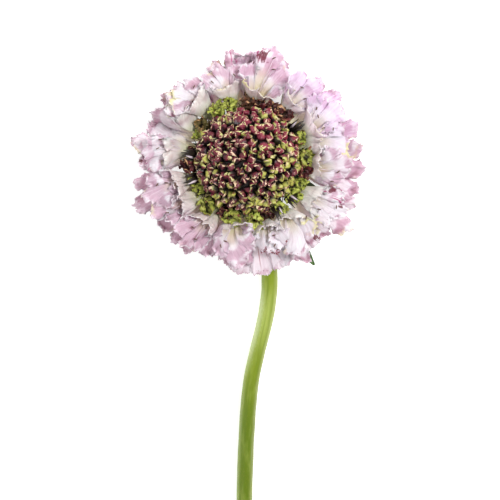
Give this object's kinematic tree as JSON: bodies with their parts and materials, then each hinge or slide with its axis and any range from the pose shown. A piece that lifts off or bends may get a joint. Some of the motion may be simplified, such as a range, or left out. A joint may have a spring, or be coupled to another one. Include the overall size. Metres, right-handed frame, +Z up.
{
  "type": "cut scabiosa flower",
  "caption": "Single cut pincushion flower lying down: pale lilac frilled ray florets in two whorls round a dome of burgundy and green buds, on a curved green stem.",
  "frame": {"origin": "on the surface that the flower lies on, under the middle of its bounding box", "axes": "+Z up from the surface; +Y along the stem from its cut end to the flower head; +X to the right, seen from the cut end"},
  "size_m": [0.0703, 0.1682, 0.0327],
  "materials": {
    "stem_green": "satin",
    "bract_green": "satin",
    "petal_lilac": "soft, slightly translucent",
    "petal_white": "soft, slightly translucent",
    "bud_green": "satin",
    "bud_burgundy": "satin"
  },
  "bodies": {
    "root": {"stem": "stem_green", "involucre": "bract_green", "ray_florets_lower": "petal_lilac", "ray_florets_upper": "petal_white", "rim_buds": "bud_green", "dome_buds": "bud_burgundy"}
  },
  "joints": []
}
